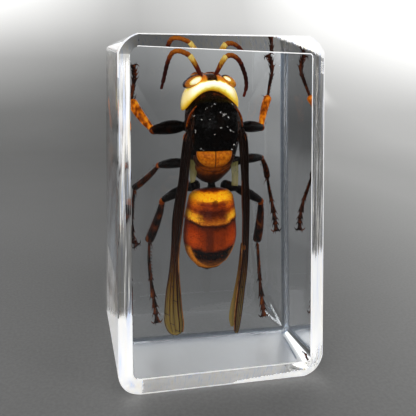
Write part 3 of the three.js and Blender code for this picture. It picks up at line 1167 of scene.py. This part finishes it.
def edge_between(outer, inner, share, lift):
    """A path along a wing at a share of the way from its outer to its inner edge, lifted off it."""
    blended = [blend_points(a, b, share) for a, b in zip(outer, inner)]
    return [(x, y - lift, z) for x, y, z in blended]


def wing_ribs(name, outer, inner, vein, bright_vein_and_highlight):
    """The ribs of one fore wing: five long ones, a bright amber line along its inner edge that paints the
    fold's highlight, and the cross ribs.
    """
    last = len(outer) - 1
    veins = []
    for share, width, short in RIBS:
        path = edge_between(outer, inner, share, 0.25)[:last + 1 - short]
        widths = [width * (1.25 - 0.9 * i / len(path)) for i in range(len(path))]
        veins.append(tube(path, widths, 8, 5))
    solid(f"{name}_wing_veins", *join(veins), vein, slot="dark_cuticle")
    # Painted highlight: a bright tube where the inner edge of the fold catches the light
    path = edge_between(outer, inner, 1.0, 0.3)[3:last]
    solid(f"{name}_wing_edge_highlight", *tube(path, [0.12] * len(path), 8, 5), bright_vein_and_highlight, slot="amber_cuticle")
    cross = []
    for i, gap in enumerate(RIB_GAPS * 2):
        station = 7 + i * 0.75
        k, t = int(station), station % 1
        edges = [edge_between(outer, inner, share, 0.25) for share in gap]
        start, (x, y, z) = (blend_points(edge[k], edge[min(k + 1, last)], t) for edge in edges)
        cross.append(tube([start, (x, y, z - 0.5)], (0.07, 0.07), 6, 2))
    solid(f"{name}_wing_cross_veins", *join(cross), vein, slot="dark_cuticle")


def wings(membrane, film, vein, bright_vein_and_highlight):
    for name, outer, inner, pleats, depth, across, ragged in (
            ("left_forewing", LEFT_OUTER, LEFT_INNER, 2.5, 0.55, 30, 0.3),
            ("right_forewing", RIGHT_OUTER, RIGHT_INNER, 2.5, 0.5, 30, 0.3),
            ("right_hindwing", RIGHT_LOBE_OUTER, RIGHT_LOBE_INNER, 1.5, 0.25, 16, 0.4)):
        solid(name, *sheet(outer, inner, pleats, depth, across, ragged=ragged), membrane,
              slot="wing_membrane")
    wing_ribs("left", LEFT_OUTER, LEFT_INNER, vein, bright_vein_and_highlight)
    wing_ribs("right", RIGHT_OUTER, RIGHT_INNER, vein, bright_vein_and_highlight)
    solid("right_stigma", *ball((6.8, -4.4, 27.0), (0.35, 0.3, 0.55), 12, 16), bright_vein_and_highlight,
          slot="amber_cuticle")
    solid("left_wing_splinter", *spine((-11.0, -1.6, 11.0), (-9.4, -1.6, 7.0), 0.16), vein)
    for name, outer, inner in HINDWING_BASES:
        solid(f"{name}_hindwing_base", *sheet(outer, inner, 1, 0.15, 10), film, slot="wing_membrane")


# ================================================================ hornet: legs
# Joints from body to claws, in mm: hip, femur end, tibia end, then the foot's curve
LEGS = {
    "left_fore": dict(hip=(-3.2, 2.6, 55.0), neck=(-6.1, 3.5, 54.5), knee=(-12.8, 9.5, 53.3),
                      ankle=(-17.4, 14.0, 59.7), foot=((-17.5, 15.0, 61.6), (-17.0, 16.0, 64.3),
                                                       (-16.7, 16.6, 66.7), (-17.0, 16.8, 68.6)),
                      femur=1.65, tibia=1.12, shin="amber", spur=(1.0, -0.6, 2.3)),
    "right_fore": dict(hip=(5.0, 2.6, 54.8), neck=(7.8, 3.5, 54.1), knee=(14.2, 9.5, 53.5),
                       ankle=(17.0, 14.2, 60.6), foot=((17.9, 15.8, 64.0), (18.8, 16.8, 67.3),
                                                       (18.6, 17.2, 70.0), (18.0, 17.2, 71.4)),
                       femur=1.4, tibia=0.95, shin="amber", spur=(-1.7, -0.3, 0.9)),
    "left_mid": dict(hip=(-3.8, 3.0, 46.0), neck=(-5.8, 3.5, 45.9), knee=(-11.5, 9.0, 44.9),
                     ankle=(-16.9, 14.0, 39.1), foot=((-17.4, 15.2, 34.6), (-17.6, 16.0, 30.3),
                                                      (-17.3, 16.3, 26.3), (-16.5, 16.3, 24.7)),
                     femur=1.2, tibia=0.78, shin="brown", spur=(0.5, 0.2, -2.6)),
    "right_mid": dict(hip=(5.0, 3.0, 46.0), neck=(7.8, 3.5, 46.2), knee=(14.2, 9.5, 46.1),
                      ankle=(16.7, 13.5, 40.9), foot=((17.6, 14.8, 37.2), (18.6, 15.8, 33.4),
                                                      (19.3, 16.0, 29.7), (19.6, 15.6, 26.9)),
                      femur=1.15, tibia=0.72, shin="brown", spur=(-0.9, 0.2, -2.2)),
    "left_hind": dict(hip=(-3.2, 3.4, 40.6), neck=(-5.4, 4.0, 40.0), knee=(-10.6, 9.0, 36.5),
                      ankle=(-13.4, 13.5, 26.4), foot=((-13.4, 15.0, 20.5), (-12.7, 16.0, 14.6),
                                                       (-11.9, 16.3, 9.3), (-11.4, 16.3, 5.6)),
                      femur=1.2, tibia=1.08, shin="brown", spur=(0.9, 0.2, -2.8)),
    "right_hind": dict(hip=(3.6, 3.4, 40.4), neck=(6.4, 4.0, 39.6), knee=(13.9, 9.0, 35.5),
                       ankle=(14.0, 13.5, 25.1), foot=((14.7, 15.0, 18.9), (15.3, 16.0, 12.8),
                                                       (15.9, 16.3, 8.1), (16.2, 16.3, 5.2)),
                       femur=1.2, tibia=1.05, shin="brown", spur=(-0.6, 0.2, -2.9)),
}
FOOT_SHARES = (0.0, 0.44, 0.62, 0.75, 0.85, 1.0)


def bristle_rows(start, end, width, flare):
    """Spines along one foot joint, longest and widest apart at its far end."""
    bristles = []
    ahead = (end - start).normalized()
    side = ahead.cross(Vector((0, 1, 0))).normalized()
    rows = max(2, round((end - start).length / 0.9))
    for k in range(1, rows + 1):
        base = start.lerp(end, k / rows - 0.04)
        spread = width * (0.6 + 0.4 * k / rows) * (flare if k == rows else 1)
        for sign in (-1, -0.5, 0.5, 1):
            root = base + side * sign * spread * 0.8
            reach = (1.0 if k == rows else 0.55) * random.uniform(0.85, 1.2)
            tip = root + ahead * reach + side * sign * reach * random.uniform(0.25, 0.5)
            tip.y += random.uniform(-0.3, 0.3)
            bristles.append(spine(root, tip, 0.14 if k == rows else 0.085))
    return bristles


def tarsus(path, width):
    """Five foot joints, each flaring to a spiny far end, then the claws."""
    fine = [Vector(p) for p in smooth_row(path, 16)]
    last = len(fine) - 1
    parts, bristles = [], []
    for number, (low, high) in enumerate(zip(FOOT_SHARES, FOOT_SHARES[1:])):
        a, b = round(low * last), round(high * last)
        start, middle, end = fine[a], fine[(a + b) // 2], fine[b]
        flare = 1.0 if number == 0 else 1.45
        radii = (width * 0.62, width * 0.8 * flare ** 0.5, width * flare)
        parts.append(tube([start, middle, end], radii, 12, 4, flatten=0.8))
        bristles.extend(bristle_rows(start, end, width, flare))
    end = fine[-1]
    ahead = (fine[-1] - fine[-4]).normalized()
    side = ahead.cross(Vector((0, 1, 0))).normalized()
    claws = []
    for sign in (-1, 1):
        hook = [end, end + side * sign * 0.6 + ahead * 0.35, end + side * sign * 1.1 + ahead * 0.25,
                end + side * sign * 1.45 - ahead * 0.3 + Vector((0, -0.2, 0))]
        claws.append(tube(hook, (0.22, 0.2, 0.14, 0.05), 8, 4))
    claws.append(ball(end + ahead * 0.2, (0.38, 0.34, 0.38), 10, 14))
    return parts, bristles, claws


def limb_hair(start, end, radius, count, length):
    """Short hairs along a limb, leaning towards its far end."""
    ahead = (end - start).normalized()
    side, up = across_from(ahead)
    hairs = []
    for _ in range(count):
        turn = random.uniform(0, TAU)
        out = side * math.cos(turn) + up * math.sin(turn)
        root = start.lerp(end, random.uniform(0.05, 0.95)) + out * radius * 0.9
        reach = length * random.uniform(0.6, 1.2)
        hairs.append(spine(root, root + (out * 0.7 + ahead) * reach, 0.022, 3))
    return join(hairs)


def legs(black, brown, amber, knee_material):
    for name, leg in LEGS.items():
        hip, neck, knee, ankle, spur = (Vector(leg[key]) for key in ("hip", "neck", "knee", "ankle", "spur"))
        thick, shin = leg["femur"], leg["tibia"]
        solid(f"{name}_coxa", *tube([hip, hip.lerp(neck, 0.5), neck],
                                    (thick * 1.1, thick * 1.05, thick * 0.7)), black)
        swell = [neck.lerp(knee, share) + Vector((0, -0.2 * lift, lift))
                 for share, lift in ((0, 0), (0.25, 0.15), (0.55, 0.2), (0.85, 0.1), (1, 0))]
        solid(f"{name}_femur", *tube(swell, (thick * 0.6, thick * 0.95, thick, thick * 0.78, thick * 0.55)),
              black)
        solid(f"{name}_knee", *tube([knee.lerp(neck, 0.12), knee, knee.lerp(ankle, 0.06)],
                                    (thick * 0.62, thick * 0.62, shin * 0.7)), knee_material,
              slot="amber_cuticle")
        bow = (ankle - knee).cross(Vector((0, 1, 0))).normalized() * 0.25
        path = [knee, knee.lerp(ankle, 0.3) + bow, knee.lerp(ankle, 0.7) + bow, ankle]
        is_amber = leg["shin"] == "amber"
        solid(f"{name}_tibia", *tube(path, (shin * 0.55, shin * 0.85, shin * 1.05, shin * 1.08)),
              amber if is_amber else brown, slot="amber_cuticle" if is_amber else "dark_cuticle")
        shorter = spur * 0.7 + Vector((0.25, 0.4, 0))
        spurs = [spine(ankle, ankle + spur, 0.14, 6), spine(ankle, ankle + shorter, 0.11, 6)]
        foot, bristles, claws = tarsus([tuple(ankle), *leg["foot"]], 0.5)
        hairs = [limb_hair(neck, knee, thick * 0.9, 60, 0.35), limb_hair(knee, ankle, shin, 90, 0.45)]
        for part, shapes in (("spurs", spurs), ("tarsus", foot), ("tarsal_bristles", bristles),
                             ("claws", claws), ("hair", hairs)):
            solid(f"{name}_{part}", *join(shapes), brown)


def body_hair(brown):
    """Short upright hair on the front and sides of the thorax."""
    hairs = []
    while len(hairs) < 900:
        row = random.choice(THORAX[1:9])
        turn = random.uniform(math.pi * 0.75, math.pi * 2.25)
        z = row[0] + random.uniform(-1.2, 1.2)
        root = Vector((row[1] + row[2] * 0.97 * math.cos(turn),
                       (row[3] + row[4]) / 2 + (row[4] - row[3]) / 2 * 0.97 * math.sin(turn), z))
        out = Vector((math.cos(turn), math.sin(turn), random.uniform(-0.4, 0.8))).normalized()
        hairs.append(spine(root, root + out * random.uniform(0.5, 1.0), 0.018, 3,
                           bend=(0, 0, random.uniform(-0.05, 0.1))))
    solid("thorax_hair", *join(hairs), brown)


# Where thin films of air cling to the thorax and show as painted glints: x, z and length in mm
AIR_FILM_GLINTS = ((-5.5, 57.4, 1.3), (1.2, 57.7, 1.2), (3.6, 60.0, 0.9), (4.7, 58.9, 0.9), (-3.5, 56.6, 0.8),
             (-2.3, 56.7, 0.45), (0.3, 58.2, 0.7), (2.2, 57.0, 0.4), (1.9, 54.9, 0.8), (2.6, 54.2, 0.5),
             (3.3, 53.9, 0.45), (-5.1, 54.0, 0.55), (3.8, 50.9, 0.6), (3.4, 49.8, 0.5), (-3.2, 49.8, 0.5),
             (-3.9, 50.1, 0.35), (0.3, 54.8, 0.35), (-1.0, 53.3, 0.3), (-0.9, 60.1, 0.35),
             (-2.8, 59.0, 0.4), (-1.6, 59.6, 0.25), (4.6, 51.3, 0.25), (5.3, 58.0, 0.3))
BESIDE_SCUTUM = -5.5


def on_thorax(x, z):
    """The dorsal surface at a point of the thorax, as Y."""
    section = section_at(SCUTUM, z)
    if section is None:
        return BESIDE_SCUTUM
    _, centre, half, dorsal, ventral = section
    across = min(abs(x - centre) / half, 0.999)
    middle, half_depth = (dorsal + ventral) / 2, (ventral - dorsal) / 2
    return middle - half_depth * (1 - across ** FULLNESS) ** (1 / FULLNESS)


def air_film_glints(material):
    """Ragged silvery specks of trapped air on the thorax, glowing as painted glints."""
    specks = []
    for x, z, length in AIR_FILM_GLINTS:
        lean = random.uniform(-1.3, 1.3)
        for _ in range(random.randint(2, 5)):
            along = random.uniform(-0.5, 0.5) * length
            px = x + along * math.cos(lean) + random.uniform(-0.15, 0.15)
            pz = z + along * math.sin(lean) + random.uniform(-0.15, 0.15)
            centre = (px, min(on_thorax(px, pz), -5.0) - 0.1, pz)
            radii = (random.uniform(0.04, 0.15) * (0.5 + length), 0.05, random.uniform(0.02, 0.055))
            specks.append(tilted_ball(centre, radii, math.degrees(lean) + random.uniform(-60, 60),
                                      rows=8, columns=12))
    solid("air_film_glints", *join(specks), material, slot="clear_resin")


def neck_tuft(material):
    """A small tuft of golden hair on the front of the pronotum."""
    hairs = []
    for _ in range(70):
        root = Vector((-0.75 + random.gauss(0, 0.3), -6.6, 61.1 + random.gauss(0, 0.25)))
        lean = Vector((random.uniform(-0.7, 0.7), -1.0, random.uniform(-0.4, 0.7)))
        hairs.append(spine(root, root + lean * random.uniform(0.35, 0.7), 0.022, 4))
    solid("neck_tuft", *join(hairs), material, slot="amber_cuticle")


# ================================================================ stage
PAPER_BACK = 640.0
PAPER_BEND = 330.0
PAPER_HALF_WIDTH = 1800.0


def studio_sweep(material, steps=24):
    """Floor that curves up into a wall behind the block."""
    foot = PAPER_BACK - PAPER_BEND
    profile = [(-1500.0, 0.0), (-300.0, 0.0), (0.0, 0.0), (foot, 0.0)]
    for step in range(1, steps + 1):
        angle = math.radians(90 * step / steps)
        profile.append((foot + PAPER_BEND * math.sin(angle), PAPER_BEND * (1 - math.cos(angle))))
    profile.append((PAPER_BACK, RISE_TOP))
    points = [(x, y, z) for x in (-PAPER_HALF_WIDTH, PAPER_HALF_WIDTH) for y, z in profile]
    count = len(profile)
    faces = [(i, count + i, count + i + 1, i + 1) for i in range(count - 1)]
    sweep = solid("studio_sweep", points, faces, material, body=None)
    sweep.location.z = -0.02 * MM


def softbox(name, place, size, power):
    """A lamp aimed at the middle of the block."""
    light = bpy.data.lights.new(name, "AREA")
    light.shape = "RECTANGLE"
    light.size, light.size_y = size[0] * MM, size[1] * MM
    light.energy = power
    lamp = bpy.data.objects.new(name, light)
    bpy.context.collection.objects.link(lamp)
    lamp.location = Vector(place) * MM
    aim = Vector((0, 0, 40)) * MM - lamp.location
    lamp.rotation_euler = aim.to_track_quat("-Z", "Y").to_euler()


def glowing_card(name, place, size, strength):
    """A softly glowing upright panel, out of the camera's view, seen through the block."""
    half_width, half_height = size[0] / 2, size[1] / 2
    points = [(-half_width, 0, -half_height), (half_width, 0, -half_height), (half_width, 0, half_height),
              (-half_width, 0, half_height)]
    shader = Shader(name)
    shader.glow(WHITE, shader.noise(0.01, 2).span(0.3, 0.7, strength * 0.8, strength))
    card = solid(name, points, [(0, 1, 2, 3)], shader.finish((0.8, 0.8, 0.8), 0.8), body=None)
    card.location = Vector(place) * MM
    card.rotation_euler = (0, 0, math.atan2(-place[0], place[1]))
    card.visible_diffuse = False
    card.visible_camera = False


def studio_lights():
    softbox("key_front", (-110, -480, 135), (240, 130), 1.3)
    softbox("key_left", (-420, -330, 190), (220, 220), 1.2)
    softbox("key_right", (430, -330, 240), (180, 240), 1.3)
    softbox("top_front", (-20, -260, 520), (300, 160), 0.6)
    glowing_card("card_left", (-390, 200, 130), (330, 330), 1.3)
    glowing_card("card_left_rear", (-170, 420, 330), (300, 440), 1.1)
    world = bpy.data.worlds.new("studio_world")
    bpy.context.scene.world = world
    world.use_nodes = True
    background = world.node_tree.nodes["Background"]
    background.inputs["Color"].default_value = (0.93, 0.97, 1, 1)
    background.inputs["Strength"].default_value = 0.06


def camera():
    data = bpy.data.cameras.new("camera")
    data.sensor_width = 36
    data.lens = CAMERA_LENS
    data.shift_x, data.shift_y = CAMERA_SHIFT
    data.clip_start = 0.005
    data.clip_end = 20
    eye = bpy.data.objects.new("camera", data)
    bpy.context.collection.objects.link(eye)
    eye.location = Vector(CAMERA_PLACE) * MM
    eye.rotation_euler = (math.radians(90 + CAMERA_PITCH), 0, -math.radians(CAMERA_YAW))
    bpy.context.scene.camera = eye


def render_choices():
    scene = bpy.context.scene
    scene.view_settings.view_transform = "Standard"
    scene.cycles.max_bounces = 20
    scene.cycles.transmission_bounces = 20
    scene.cycles.glossy_bounces = 12
    scene.cycles.transparent_max_bounces = 16
    scene.cycles.caustics_refractive = False
    scene.cycles.caustics_reflective = False


# ================================================================ build
def hornet():
    black, brown, knee = black_cuticle(), brown_cuticle(), knee_cuticle()
    dark_vein = wing_vein("dark_vein", (0.010, 0.003, 0.001), (0.07, 0.015, 0.002))
    bright_vein_and_highlight = wing_vein("bright_vein_and_highlight", (0.10, 0.022, 0.004), (0.55, 0.24, 0.06))
    head_capsule(head_cuticle())
    compound_eyes(eye_cuticle(), brown)
    ocelli(black)
    mouthparts(amber_cuticle("mouthpart_cuticle", 0.0), brown)
    antennae(scape_cuticle(), flagellum_cuticle())
    thorax(black, brown, knee, rear_cuticle(), scutellum_cuticle())
    gaster(gaster_cuticle(), black)
    wings(wing_membrane(), hindwing_film(), dark_vein, bright_vein_and_highlight)
    legs(limb_cuticle(), foot_cuticle(), amber_cuticle("amber_cuticle", 0.45), knee)
    body_hair(brown)
    neck_tuft(brown)
    air_film_glints(silvery_air_glints())


camera()
studio_sweep(sweep_material())
studio_lights()
render_choices()
resin_block((resin_material(), scuffed_glowing_resin(), worn_glowing_resin(), satin_dimmed_resin()))
block_shade()
hornet()
